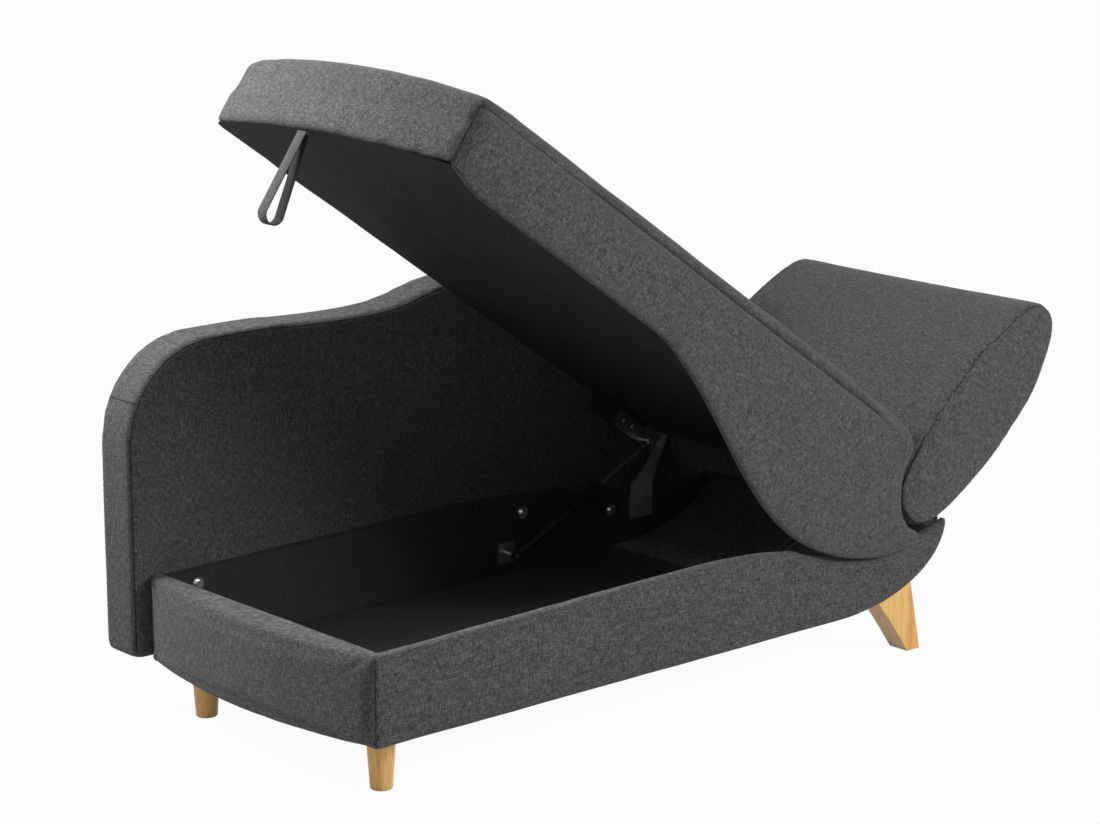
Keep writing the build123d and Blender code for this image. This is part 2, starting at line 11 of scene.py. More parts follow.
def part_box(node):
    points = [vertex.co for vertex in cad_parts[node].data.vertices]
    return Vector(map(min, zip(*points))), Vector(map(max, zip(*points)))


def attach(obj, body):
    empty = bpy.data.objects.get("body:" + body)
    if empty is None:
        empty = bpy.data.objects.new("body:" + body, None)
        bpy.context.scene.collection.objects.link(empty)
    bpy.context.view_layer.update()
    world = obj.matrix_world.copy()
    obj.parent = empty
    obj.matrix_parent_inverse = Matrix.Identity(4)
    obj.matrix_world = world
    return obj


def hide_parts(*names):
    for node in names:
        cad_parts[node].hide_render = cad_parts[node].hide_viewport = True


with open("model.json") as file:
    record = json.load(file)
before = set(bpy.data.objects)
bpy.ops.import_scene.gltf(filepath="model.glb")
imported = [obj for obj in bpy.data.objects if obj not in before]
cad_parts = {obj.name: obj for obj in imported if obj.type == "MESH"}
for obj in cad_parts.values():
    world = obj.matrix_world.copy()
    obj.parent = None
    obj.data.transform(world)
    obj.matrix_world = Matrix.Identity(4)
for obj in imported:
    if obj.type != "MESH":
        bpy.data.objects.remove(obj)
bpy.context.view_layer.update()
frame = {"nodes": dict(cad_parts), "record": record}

# Chaise sofa bed, lid raised. Metres, in the frame's own axes: X towards the
# head end, Y towards the back, Z up.
scene = bpy.context.scene
nodes = frame["nodes"]
joints = {joint["name"]: joint for joint in frame["record"]["behaviour"]["joints"]}
hinge = Vector(joints["lid_lift"]["pos_m"])
strap_neck = Vector(joints["strap_swing"]["pos_m"])

# Front foot corner of the base, which the base's own sizes start from
foot_rail = 0.028
corner_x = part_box("foot_cover")[1][0] - foot_rail
corner_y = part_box("front_cover")[0][1]

# Base: points of its side view as (x, z), depths as y
base_depth = 0.700
leg_height = 0.107
base_top_foot = 0.281
base_crest = (0.800, 0.294)
crest_to_head = (0.12, -0.002)
crest_to_foot = 0.1
base_drop = (1.060, 0.276)
cradle = (1.275, 0.229)
boat_tip = (1.505, 0.266)
boat_start = 1.190
boat_knee = 1.350
boat_rise = (1.500, 0.170)
foot_bow = 0.048
foot_start_y = 0.004
foot_held = 0.010
foot_top_gap = 0.0005
front_board_in = 0.026
rear_board_in = 0.676
front_bulge = 0.0025
front_bulge_run = 0.02
head_skin = 0.006
corner_seam_y = 0.003
corner_seam_low = 0.004
corner_seam_high = 0.005

# Back panel
panel_y = (0.700, 0.810)
panel_x = (-0.031, 1.480)
panel_bottom = 0.116
panel_foot_top = 0.724
panel_foot_r = 0.190
panel_level = (0.300, 0.724)
panel_dip = (0.480, 0.716)
panel_rise = (0.620, 0.722)
panel_swell = (0.800, 0.757)
panel_head_top = 0.790
panel_head_r = 0.210
panel_strip_seam = 0.626
panel_gap = 0.001
panel_inset = 0.003
panel_proud = 0.004
panel_rim = 0.012
panel_held = 0.02
panel_seam_front = 0.004
panel_seam_rear = 0.006
panel_seam_low = 0.006
closed_seat = 0.500

# Lid, in its own tilted plane with the hinge at zero
lid_slope = radians(34.8)
lid_cos, lid_sin = cos(lid_slope), sin(lid_slope)
lid_y = (-0.018, 0.697)
lid_under = -0.064
hem_v = -0.086
rail_top = -0.024
lid_foot_u = -1.388
lid_foot_bow = 0.044
lid_inner_u = -1.372
lid_rail_head_u = -0.022
seam_foot_v = 0.056
seam_head = (-0.120, 0.058)
foot_roll = 0.048
lid_end_top = (0.008, 0.062)
lid_end_lean = 0.006
lid_end_mid = (0.008, 0.0)
lid_end_low = (0.014, -0.024)
edge_rise = 0.024
edge_roll = 0.030
far_roll = 0.055
far_drop = 0.034
seam_lap = 0.007
near_proud = 0.005
crown = 0.008
corner_r = 0.026
tuck_foot_in = 0.006
held_above_rail = 0.02
held_head_u = -0.02
lining_facing = 0.8
lining_depth = 0.01
far_edge_out = 0.0012
far_edge_under = 0.0005
far_edge_lap = 0.010

# Dust cover under the lid
dust_notch_u = -0.235
dust_under = 0.0006
dust_far_in = 0.003
dust_in = 0.007
dust_flat = 0.110
dust_ease = 0.050
dust_sag = 0.001
dust_wave = 0.0012
dust_waves = (9, 14, 0.4)

# Near side panel and its skirt
side_thick = 0.015
side_round = 0.006
side_foot_u = lid_foot_u + 0.002
side_bulge = 0.006
side_bulge_run = 0.035
side_seam_in = 0.001
side_seam_low = 0.003
skirt_start_u = -0.800
skirt_ease_u = -0.600
skirt_dive_u = -0.400
skirt_low = (-0.205, -0.255)
skirt_turn_u = -0.080
skirt_rise = (0.060, -0.200)
lip_low = (0.126, -0.118)
lip_top = (0.120, -0.090)
lip_round_u = 0.140
hem_ease_u = -1.300
hem_ease_reach = 0.030
hem_foot_v = -0.066
hem_foot_reach = 0.010
notch = [(0.010, 0.030), (0.012, -0.014), (0.029, -0.046), (0.056, -0.079), (0.094, -0.093)]

# Bolster, in the lid's plane
bolster_outline = [(0.022, -0.014), (0.026, 0.070), (0.052, 0.212), (0.104, 0.343), (0.166, 0.446),
                   (0.220, 0.468), (0.260, 0.424), (0.278, 0.300), (0.260, 0.170), (0.220, 0.054),
                   (0.172, -0.040), (0.118, -0.083), (0.066, -0.078), (0.036, -0.054)]
bolster_pivot = (0.186, 0.012)
bolster_proud = 0.007
bolster_proud_from = 0.2
bolster_proud_run = 0.1
bolster_end_in = 0.004
bolster_rim = 0.010
bolster_held = 0.02
bolster_seam_in = 0.010

# Slots that let the hinges through the soft forms
hinge_slot_y = (0.025, 0.057)
hinge_slot_u = (-0.066, 0.060)
hinge_slot_v = (-0.060, 0.016)
arm_slot_y = (0.045, 0.057)
arm_slot = [(bolster_pivot[0] - 0.012, bolster_pivot[1] + 0.016), (-0.130, bolster_pivot[1] - 0.060),
            (-0.130, -0.130), (bolster_pivot[0] + 0.044, -0.130),
            (bolster_pivot[0] + 0.016, bolster_pivot[1] - 0.004),
            (bolster_pivot[0] + 0.012, bolster_pivot[1] + 0.016)]
mirror_sum = front_board_in + rear_board_in

# Pull strap
strap_width = 0.025
strap_reach = 0.160
strap_bend_r = 0.0205
strap_neck_r = 0.0038
strap_lean = radians(6)
strap_thick = 0.0024
strap_steps = 24
strap_edge_facing = 0.5

# How the covers are made
cover_round = 0.008
pad_round = 0.013
fine_voxel = 0.005
bolster_voxel = 0.009
soft_voxel = 0.011
fill_pressure = 3.0
sim_frames = 20
seam_r = 0.0015
seam_sunk = 0.0005

# Lining of the storage well
floor_top = 0.122
lining_in = 0.0018
lining_end_x = 1.030
lining_foot_x = 0.030
lining_low = 0.002
lining_top_gap = 0.007
lining_wave = 0.0008
lining_waves = (11, 16)

# Floor, light and camera
floor_reach = 60.0
floor_whiteness = 0.955
room_light = 0.25
camera_place = (-3.316, -4.236, 1.996)
camera_yaw = radians(41.34)
camera_pitch = radians(13.30)
camera_lens = 104.46
camera_sensor = 36


# Places
def base_point(x, y, z):
    """Point given from the base's front foot corner."""
    return Vector((corner_x + x, corner_y + y, z))


def lid_point(u, y, v):
    """Point given in the lid's plane, with y from the base's front."""
    return Vector((hinge.x + u * lid_cos + v * lid_sin, corner_y + y, hinge.z - u * lid_sin + v * lid_cos))


def lid_flat(points):
    """u, v and y of points in the lid's plane."""
    x, z = points[:, 0] - hinge.x, points[:, 2] - hinge.z
    return x * lid_cos - z * lid_sin, x * lid_sin + z * lid_cos, points[:, 1] - corner_y


def lid_spots(u, v, y):
    """Points from their u, v and y in the lid's plane."""
    x = hinge.x + u * lid_cos + v * lid_sin
    return np.stack([x, corner_y + y, hinge.z - u * lid_sin + v * lid_cos], axis=1)


def base_side(p, y):
    """Spot of a point of the base's side view at depth y."""
    return base_point(p[0], y, p[1])


def lid_side(p, y):
    """Spot of a point of the lid's side view at depth y, still level."""
    return p[0], y, p[1]


# Outlines
def bezier(a, b, c, d, count):
    """Points of a cubic curve, without its last one."""
    a, b, c, d = (np.array(p, float) for p in (a, b, c, d))
    t = np.linspace(0, 1, count, endpoint=False)[:, None]
    curve = a * (1 - t) ** 3 + 3 * b * t * (1 - t) ** 2 + 3 * c * t ** 2 * (1 - t) + d * t ** 3
    return [tuple(p) for p in curve]


def line(a, b, count):
    """Evenly spaced points from a towards b, without b."""
    return [(a[0] + (b[0] - a[0]) * k / count, a[1] + (b[1] - a[1]) * k / count) for k in range(count)]


def through(points, count, closed=False):
    """Smooth curve through points, count steps a span."""
    ring = [np.array(p, float) for p in points]
    size = len(ring)
    curve = []
    for k in range(size if closed else size - 1):
        if closed:
            a, b, c, d = (ring[(k + n) % size] for n in (-1, 0, 1, 2))
        else:
            a, b, c, d = (ring[min(max(k + n, 0), size - 1)] for n in (-1, 0, 1, 2))
        for t in np.linspace(0, 1, count, endpoint=False):
            p = 2 * b + (c - a) * t + (2 * a - 5 * b + 4 * c - d) * t ** 2 + (3 * b - a - 3 * c + d) * t ** 3
            curve.append(tuple(p / 2))
    if not closed:
        curve.append(tuple(ring[-1]))
    return curve


def arc(centre, radius, start, end, count):
    """Points of a round corner, angles in degrees, both ends included."""
    angles = np.radians(np.linspace(start, end, count))
    return [(centre[0] + radius * cos(a), centre[1] + radius * sin(a)) for a in angles]


def arc_through(a, b, c, count):
    """Points of the circle through a, b and c, from a to c."""
    (ax, ay), (bx, by), (cx, cy) = a, b, c
    d = 2 * (ax * (by - cy) + bx * (cy - ay) + cx * (ay - by))
    qa, qb, qc = ax * ax + ay * ay, bx * bx + by * by, cx * cx + cy * cy
    x = (qa * (by - cy) + qb * (cy - ay) + qc * (ay - by)) / d
    y = (qa * (cx - bx) + qb * (ax - cx) + qc * (bx - ax)) / d
    radius = sqrt((ax - x) ** 2 + (ay - y) ** 2)
    start = np.degrees(np.arctan2(ay - y, ax - x))
    end = np.degrees(np.arctan2(cy - y, cx - x))
    middle = np.degrees(np.arctan2(by - y, bx - x))
    if (end - start) % 360 < (middle - start) % 360:
        return arc((x, y), radius, start, start - (start - end) % 360, count)
    return arc((x, y), radius, start, start + (end - start) % 360, count)


def away(points, outline):
    """Distance of each point from a closed outline."""
    p = np.asarray(points, float)
    a = np.asarray(outline, float)
    b = np.roll(a, -1, axis=0)
    near = np.full(len(p), np.inf)
    for start, end in zip(a, b):
        run = end - start
        share = np.clip(((p - start) @ run) / max(run @ run, 1e-12), 0, 1)
        near = np.minimum(near, np.linalg.norm(p - start - share[:, None] * run, axis=1))
    return near


# Meshes
def points_of(piece):
    """Vertex places as an array."""
    flat = np.empty(len(piece.data.vertices) * 3)
    piece.data.vertices.foreach_get("co", flat)
    return flat.reshape(-1, 3)


def put_points(piece, points):
    """Moves a piece's vertices to the places in an array."""
    piece.data.vertices.foreach_set("co", np.ascontiguousarray(points).ravel())
    piece.data.update()


def to_lid(piece):
    """Tilts a piece that was made level, with u as x and v as z, into the lid's plane."""
    spots = points_of(piece)
    put_points(piece, lid_spots(spots[:, 0], spots[:, 2], spots[:, 1]))


def new_piece(name, vertices, faces):
    """Smooth-shaded mesh object."""
    mesh = bpy.data.meshes.new(name)
    mesh.from_pydata([tuple(v) for v in vertices], [], faces)
    piece = bpy.data.objects.new(name, mesh)
    scene.collection.objects.link(piece)
    bm = bmesh.new()
    bm.from_mesh(mesh)
    bmesh.ops.recalc_face_normals(bm, faces=bm.faces)
    bm.to_mesh(mesh)
    bm.free()
    mesh.shade_smooth()
    return piece


def loft(name, rings):
    """Closed form over rings of equal length, capped at both ends."""
    size = len(rings[0])
    vertices = [p for ring in rings for p in ring]
    faces = []
    for r in range(len(rings) - 1):
        for k in range(size):
            n = (k + 1) % size
            faces.append((r * size + k, r * size + n, (r + 1) * size + n, (r + 1) * size + k))
    faces.append(tuple(range(size)))
    faces.append(tuple(reversed(range((len(rings) - 1) * size, len(rings) * size))))
    return new_piece(name, vertices, faces)


def grid(name, rows):
    """Open sheet over rows of points."""
    wide = len(rows[0])
    vertices = [p for row in rows for p in row]
    faces = []
    for r in range(len(rows) - 1):
        for k in range(wide - 1):
            at = r * wide + k
            faces.append((at, at + 1, at + wide + 1, at + wide))
    return new_piece(name, vertices, faces)


def apply_modifiers(piece):
    """Keeps the shape that the modifiers give and removes them."""
    shaped = bpy.data.meshes.new_from_object(piece.evaluated_get(bpy.context.evaluated_depsgraph_get()))
    shaped.name = piece.name
    old = piece.data
    piece.modifiers.clear()
    piece.data = shaped
    bpy.data.meshes.remove(old)
    piece.data.shade_smooth()


def shrunk(outline, inset):
    """Closed outline in one plane, drawn in by inset."""
    points = np.array(outline)
    ahead, behind = np.roll(points, -1, axis=0), np.roll(points, 1, axis=0)
    along = (ahead - behind) / np.linalg.norm(ahead - behind, axis=1)[:, None]
    way = np.sign(np.sum(points[:, 0] * ahead[:, 1] - ahead[:, 0] * points[:, 1]))
    return points + inset * way * np.stack([-along[:, 1], along[:, 0]], axis=1)


def soft_slab(name, outline, place, near, far, radius):
    """Slab from near to far with rounded rims; place turns an outline point and y into a spot."""
    turns = np.linspace(0, pi / 2, 6)
    sections = [(near + radius * (1 - cos(a)), radius * (1 - sin(a))) for a in turns]
    sections += [(far - radius * (1 - cos(a)), radius * (1 - sin(a))) for a in turns[::-1]]
    return loft(name, [[place(p, y) for p in shrunk(outline, inset)] for y, inset in sections])


def even_out(piece, voxel, rounds):
    """Even quads over a closed form, with its edges rounded off."""
    remesh = piece.modifiers.new("even", "REMESH")
    remesh.mode = "VOXEL"
    remesh.voxel_size = voxel
    smooth = piece.modifiers.new("round", "SMOOTH")
    smooth.factor = 0.5
    smooth.iterations = rounds
    apply_modifiers(piece)


def swell(piece, held, cap):
    """Fills a closed cover by a cloth simulation: held points stay still, none moves past cap."""
    group = piece.vertex_groups.new(name="held")
    group.add([int(k) for k in np.nonzero(held)[0]], 1.0, "REPLACE")
    cloth = piece.modifiers.new("cloth", "CLOTH")
    settings = cloth.settings
    settings.quality = 3
    settings.use_pressure = True
    settings.uniform_pressure_force = fill_pressure
    settings.vertex_group_mass = "held"
    settings.effector_weights.gravity = 0
    cloth.collision_settings.use_collision = False
    cloth.point_cache.frame_end = sim_frames
    rest = points_of(piece)
    for step in range(1, sim_frames + 1):
        scene.frame_set(step)
    shown = piece.evaluated_get(bpy.context.evaluated_depsgraph_get())
    filled = np.empty(len(rest) * 3)
    shown.data.vertices.foreach_get("co", filled)
    moved = filled.reshape(-1, 3) - rest
    far = np.maximum(np.linalg.norm(moved, axis=1), 1e-9)
    piece.modifiers.remove(cloth)
    piece.vertex_groups.remove(group)
    scene.frame_set(1)
    put_points(piece, rest + moved * (cap * np.tanh(far / cap) / far)[:, None])


def cut(piece, *tools):
    """Takes the tools' shapes out of a closed piece."""
    for tool in tools:
        away_with = piece.modifiers.new("cut", "BOOLEAN")
        away_with.operation = "DIFFERENCE"
        away_with.solver = "EXACT"
        away_with.object = tool
        apply_modifiers(piece)
        bpy.data.objects.remove(tool)


def tube(name, points, radius, cyclic=False):
    """Round seam or cord along points, as a mesh."""
    curve = bpy.data.curves.new(name, "CURVE")
    curve.dimensions = "3D"
    curve.bevel_depth = radius
    curve.bevel_resolution = 2
    spline = curve.splines.new("POLY")
    spline.points.add(len(points) - 1)
    for spot, p in zip(spline.points, points):
        spot.co = (*p, 1)
    spline.use_cyclic_u = cyclic
    piece = bpy.data.objects.new(name, curve)
    scene.collection.objects.link(piece)
    mesh = bpy.data.meshes.new_from_object(piece.evaluated_get(bpy.context.evaluated_depsgraph_get()))
    bpy.data.objects.remove(piece)
    mesh.name = name
    piece = bpy.data.objects.new(name, mesh)
    scene.collection.objects.link(piece)
    mesh.shade_smooth()
    return piece


def finer(piece):
    """Splits every face once and smooths it."""
    split = piece.modifiers.new("finer", "SUBSURF")
    split.levels = 1
    split.render_levels = 1
    apply_modifiers(piece)


def rumple(piece, size, depth):
    """Slow uneven lie of stretched cloth, along the surface's own direction."""
    points = points_of(piece)
    normals = np.array([vertex.normal for vertex in piece.data.vertices])
    lift = np.array([noise.noise(Vector(p / size)) for p in points])
    put_points(piece, points + normals * (lift * depth)[:, None])


def groove(piece, points, width, depth):
    """Draws a piece in along a sewn line."""
    tree = KDTree(len(points))
    for k, p in enumerate(points):
        tree.insert(p, k)
    tree.balance()
    spots = points_of(piece)
    path = np.array([tuple(p) for p in points])
    close = np.all((spots > path.min(axis=0) - 3 * width) & (spots < path.max(axis=0) + 3 * width), axis=1)
    for k in np.nonzero(close)[0]:
        far = tree.find(spots[k])[2]
        spots[k] -= np.array(piece.data.vertices[k].normal) * depth * np.exp(-(far / width) ** 2)
    put_points(piece, spots)


def lay_on(piece, points, lift):
    """Points moved onto a piece's surface, lift above it and no closer than a seam's radius."""
    laid = []
    for p in points:
        _, spot, normal, _ = piece.closest_point_on_mesh(Vector(p))
        spot = spot + normal * lift
        if not laid or (spot - laid[-1]).length > seam_r:
            laid.append(spot)
    return laid


# Materials
def new_material(name):
    """Node material, its tree and its main shader."""
    material = bpy.data.materials.new(name)
    material.use_nodes = True
    tree = material.node_tree
    shader = tree.nodes["Principled BSDF"]
    return material, tree, shader


def mapped_noise(tree, scale, detail, turn=0, stretch=(1, 1, 1), rough=0.55):
    """Noise in the object's own metres, turned about Y and stretched."""
    place = tree.nodes.new("ShaderNodeTexCoord")
    mapping = tree.nodes.new("ShaderNodeMapping")
    mapping.vector_type = "TEXTURE"
    mapping.inputs["Rotation"].default_value = (0, turn, 0)
    mapping.inputs["Scale"].default_value = stretch
    texture = tree.nodes.new("ShaderNodeTexNoise")
    texture.inputs["Scale"].default_value = scale
    texture.inputs["Detail"].default_value = detail
    texture.inputs["Roughness"].default_value = rough
    tree.links.new(place.outputs["Object"], mapping.inputs["Vector"])
    tree.links.new(mapping.outputs["Vector"], texture.inputs["Vector"])
    return texture.outputs["Fac"]


def ramp(tree, value, stops):
    """Colours over a value: (place, colour) stops."""
    node = tree.nodes.new("ShaderNodeValToRGB")
    node.color_ramp.elements[0].position = stops[0][0]
    node.color_ramp.elements[0].color = (*stops[0][1], 1)
    node.color_ramp.elements[1].position = stops[-1][0]
    node.color_ramp.elements[1].color = (*stops[-1][1], 1)
    for place, colour in stops[1:-1]:
        node.color_ramp.elements.new(place).color = (*colour, 1)
    tree.links.new(value, node.inputs["Fac"])
    return node.outputs["Color"]


def multiply_colours(tree, a, b):
    """One colour times another."""
    node = tree.nodes.new("ShaderNodeMix")
    node.data_type = "RGBA"
    node.blend_type = "MULTIPLY"
    node.inputs["Factor"].default_value = 1.0
    tree.links.new(a, node.inputs[6])
    tree.links.new(b, node.inputs[7])
    return node.outputs[2]


def add_values(tree, a, b, share):
    """a plus share times b."""
    node = tree.nodes.new("ShaderNodeMath")
    node.operation = "MULTIPLY_ADD"
    node.inputs[1].default_value = share
    tree.links.new(b, node.inputs[0])
    tree.links.new(a, node.inputs[2])
    return node.outputs[0]


def add_bump(tree, shader, height, distance, strength):
    """Fine relief from a value."""
    bump = tree.nodes.new("ShaderNodeBump")
    bump.inputs["Distance"].default_value = distance
    bump.inputs["Strength"].default_value = strength
    tree.links.new(height, bump.inputs["Height"])
    tree.links.new(bump.outputs["Normal"], shader.inputs["Normal"])


def woven(name, turn, dark, mid, light):
    """Heathered weave: crossed slubs, speckled yarn and a slow cloudiness."""
    material, tree, shader = new_material(name)
    warp = mapped_noise(tree, scale=800, detail=2, turn=turn, stretch=(1, 1, 9))
    weft = mapped_noise(tree, scale=800, detail=2, turn=turn, stretch=(9, 9, 1))
    speck = mapped_noise(tree, scale=1000, detail=2, turn=turn, rough=0.7)
    cloud = mapped_noise(tree, scale=7, detail=2, turn=turn)
    yarn = add_values(tree, add_values(tree, warp, weft, share=0.8), speck, share=1.0)
    level = tree.nodes.new("ShaderNodeMapRange")
    level.inputs["From Min"].default_value = 1.10
    level.inputs["From Max"].default_value = 1.70
    tree.links.new(yarn, level.inputs["Value"])
    yarn_colour = ramp(tree, level.outputs["Result"], [(0.0, dark), (0.5, mid), (1.0, light)])
    cloud_colour = ramp(tree, cloud, [(0.3, (0.92, 0.92, 0.92)), (0.7, (1.0, 1.0, 1.0))])
    colour = multiply_colours(tree, yarn_colour, cloud_colour)
    tree.links.new(colour, shader.inputs["Base Color"])
    shader.inputs["Roughness"].default_value = 0.92
    shader.inputs["Specular IOR Level"].default_value = 0.2
    shader.inputs["Sheen Weight"].default_value = 0.10
    shader.inputs["Sheen Roughness"].default_value = 0.5
    add_bump(tree, shader, yarn, distance=0.0006, strength=0.3)
    return material


def nonwoven(name, colour):
    """Flat black felted lining with a faint fibre mottle."""
    material, tree, shader = new_material(name)
    fibre = mapped_noise(tree, scale=260, detail=4, rough=0.7)
    slow = mapped_noise(tree, scale=14, detail=2)
    low = tuple(c * 0.7 for c in colour)
    high = tuple(c * 1.5 for c in colour)
    tone = ramp(tree, add_values(tree, fibre, slow, share=0.4), [(0.45, low), (0.95, high)])
    tree.links.new(tone, shader.inputs["Base Color"])
    shader.inputs["Roughness"].default_value = 0.85
    shader.inputs["Specular IOR Level"].default_value = 0.25
    add_bump(tree, shader, fibre, distance=0.0006, strength=0.3)
    return material


def oak(name):
    """Pale oak with grain along the leg, pores and a satin lacquer."""
    material, tree, shader = new_material(name)
    grain = mapped_noise(tree, scale=60, detail=5, stretch=(1, 1, 14), rough=0.6)
    pores = mapped_noise(tree, scale=500, detail=2, stretch=(1, 1, 24))
    slow = mapped_noise(tree, scale=12, detail=2, stretch=(1, 1, 3))
    figure = add_values(tree, grain, slow, share=0.5)
    base = ramp(tree, figure, [(0.5, (0.78, 0.38, 0.095)), (0.72, (0.90, 0.52, 0.150)),
                               (1.0, (0.95, 0.64, 0.240))])
    pore_colour = ramp(tree, pores, [(0.3, (0.72, 0.62, 0.52)), (0.5, (1, 1, 1))])
    colour = multiply_colours(tree, base, pore_colour)
    tree.links.new(colour, shader.inputs["Base Color"])
    shader.inputs["Roughness"].default_value = 0.42
    shader.inputs["Coat Weight"].default_value = 0.15
    shader.inputs["Coat Roughness"].default_value = 0.3
    add_bump(tree, shader, pores, distance=0.0003, strength=0.4)
    return material


def raw_board(name):
    """Unfinished plywood and pine inside the frame."""
    material, tree, shader = new_material(name)
    grain = mapped_noise(tree, scale=40, detail=5, stretch=(12, 1, 1), rough=0.6)
    colour = ramp(tree, grain, [(0.3, (0.33, 0.22, 0.12)), (0.7, (0.52, 0.38, 0.23))])
    tree.links.new(colour, shader.inputs["Base Color"])
    shader.inputs["Roughness"].default_value = 0.7
    add_bump(tree, shader, grain, distance=0.0005, strength=0.3)
    return material


def steel(name, colour, roughness):
    """Zinc-plated steel with faint rolling marks."""
    material, tree, shader = new_material(name)
    marks = mapped_noise(tree, scale=300, detail=3, stretch=(8, 1, 1))
    low = tuple(c * 0.85 for c in colour)
    tree.links.new(ramp(tree, marks, [(0.3, low), (0.7, colour)]), shader.inputs["Base Color"])
    shader.inputs["Metallic"].default_value = 1.0
    spread = tree.nodes.new("ShaderNodeMapRange")
    spread.inputs["To Min"].default_value = roughness - 0.06
    spread.inputs["To Max"].default_value = roughness + 0.08
    tree.links.new(marks, spread.inputs["Value"])
    tree.links.new(spread.outputs["Result"], shader.inputs["Roughness"])
    return material


def black_paint(name):
    """Satin black paint with a slight orange-peel surface."""
    material, tree, shader = new_material(name)
    peel = mapped_noise(tree, scale=800, detail=2)
    tree.links.new(ramp(tree, peel, [(0.2, (0.012, 0.012, 0.013)), (0.8, (0.022, 0.022, 0.024))]),
                   shader.inputs["Base Color"])
    shader.inputs["Roughness"].default_value = 0.38
    add_bump(tree, shader, peel, distance=0.0001, strength=0.2)
    return material


# Seam threads are the fabric darkened to 0.3: painted shade standing in for the shade down in the sewn
# groove.
seam_painted_shade = 0.3
fabric_tones = ((0.018, 0.018, 0.019), (0.066, 0.066, 0.068), (0.200, 0.200, 0.204))
level_fabric = woven("fabric_level", 0, *fabric_tones)
lid_fabric = woven("fabric_lid", lid_slope, *fabric_tones)
seam_painted_shade_fabric = woven("fabric_seam_painted_shade", 0, *(tuple(c * seam_painted_shade for c in tone) for tone in fabric_tones))
webbing = woven("webbing", lid_slope, (0.040, 0.040, 0.041), (0.075, 0.075, 0.077), (0.125, 0.125, 0.128))
# Darker copy of the webbing for the loop's inner faces: painted shade.
webbing_painted_shade = woven("webbing_painted_shade", lid_slope,
                     (0.008, 0.008, 0.009), (0.015, 0.015, 0.016), (0.032, 0.032, 0.034))
lining_black = nonwoven("black_lining", (0.027, 0.027, 0.028))
oak_wood = oak("oak")
board_wood = raw_board("board")
bright_zinc = steel("bright_zinc", (0.72, 0.72, 0.73), 0.3)
fitting_zinc = steel("fitting_zinc", (0.42, 0.42, 0.44), 0.4)
strut_paint = black_paint("strut_paint")


def dress(piece, material, body):
    """Gives a piece its material and body."""
    piece.data.materials.clear()
    piece.data.materials.append(material)
    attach(piece, body)


def seam(name, piece, points, body, cyclic=False, width=0.007, depth=0.003):
    """Sewn seam along points of a piece: a drawn-in line with its thread at the bottom, the thread darkened
    as painted shade.
    """
    groove(piece, points, width, depth)
    dress(tube(name, lay_on(piece, points, -seam_sunk), seam_r, cyclic), seam_painted_shade_fabric, body)


# Base covers
def base_outline():
    """Side view of the base's front, from its foot corner round to its foot top."""
    points = line((0.0, leg_height), (boat_start, leg_height), 24)
    points += bezier((boat_start, leg_height), (boat_knee, leg_height), boat_rise, boat_tip, 28)
    points += arc_through(boat_tip, cradle, base_drop, 30)[:-1]
    crest = [(base_crest[0] + crest_to_head[0], base_crest[1] + crest_to_head[1]),
             (base_crest[0] - crest_to_foot, base_crest[1])]
    return points + through([base_drop] + crest + [(0.0, base_top_foot)], 10)


front = base_outline()
front_cover = soft_slab("front_cover_fabric", front, base_side, 0.0, front_board_in, cover_round)
even_out(front_cover, fine_voxel, rounds=5)
spots = points_of(front_cover)
edge = away(np.stack([spots[:, 0] - corner_x, spots[:, 2]], axis=1), front)
near_face = (spots[:, 1] - corner_y) < front_board_in / 2
spots[near_face, 1] -= front_bulge * np.tanh(edge[near_face] / front_bulge_run)
put_points(front_cover, spots)
rumple(front_cover, size=0.09, depth=0.0007)
dress(front_cover, level_fabric, "base")
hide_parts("front_cover")

foot_plan = arc_through((0.0, foot_start_y), (-foot_bow, base_depth / 2), (0.0, base_depth), 40)
foot_plan = [(foot_rail, foot_start_y)] + foot_plan + [(foot_rail, base_depth)]
foot_cover = soft_slab("foot_cover_fabric", foot_plan, lambda p, z: base_point(p[0], p[1], z),
                       leg_height, base_top_foot, cover_round)
even_out(foot_cover, fine_voxel, rounds=5)
swell(foot_cover, points_of(foot_cover)[:, 0] > corner_x + foot_rail - foot_held, cap=0.003)
rumple(foot_cover, size=0.08, depth=0.0007)
spots = points_of(foot_cover)
spots[:, 2] = np.minimum(spots[:, 2], base_top_foot - foot_top_gap)
put_points(foot_cover, spots)
dress(foot_cover, level_fabric, "base")
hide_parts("foot_cover")
corner_line = [base_point(0.0, corner_seam_y, z) for z in
               np.linspace(leg_height + corner_seam_low, base_top_foot - corner_seam_high, 60)]
seam("base_corner_seam", front_cover, corner_line, "base", depth=0.001)

outer_curve = bezier((boat_start, leg_height), (boat_knee, leg_height), boat_rise, boat_tip, 40) + [boat_tip]
inner_tip = (boat_tip[0] - head_skin, boat_tip[1])
inner_curve = bezier((boat_start, leg_height + head_skin), (boat_knee, leg_height + head_skin),
                     (boat_rise[0] - head_skin, boat_rise[1] + head_skin), inner_tip, 40) + [inner_tip]
head_ring = outer_curve + inner_curve[::-1]
head_cover = loft("head_cover_fabric", [
    [base_side(p, y) for p in head_ring] for y in (front_board_in, rear_board_in)])
even_out(head_cover, fine_voxel, rounds=2)
dress(head_cover, level_fabric, "base")
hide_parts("head_cover")


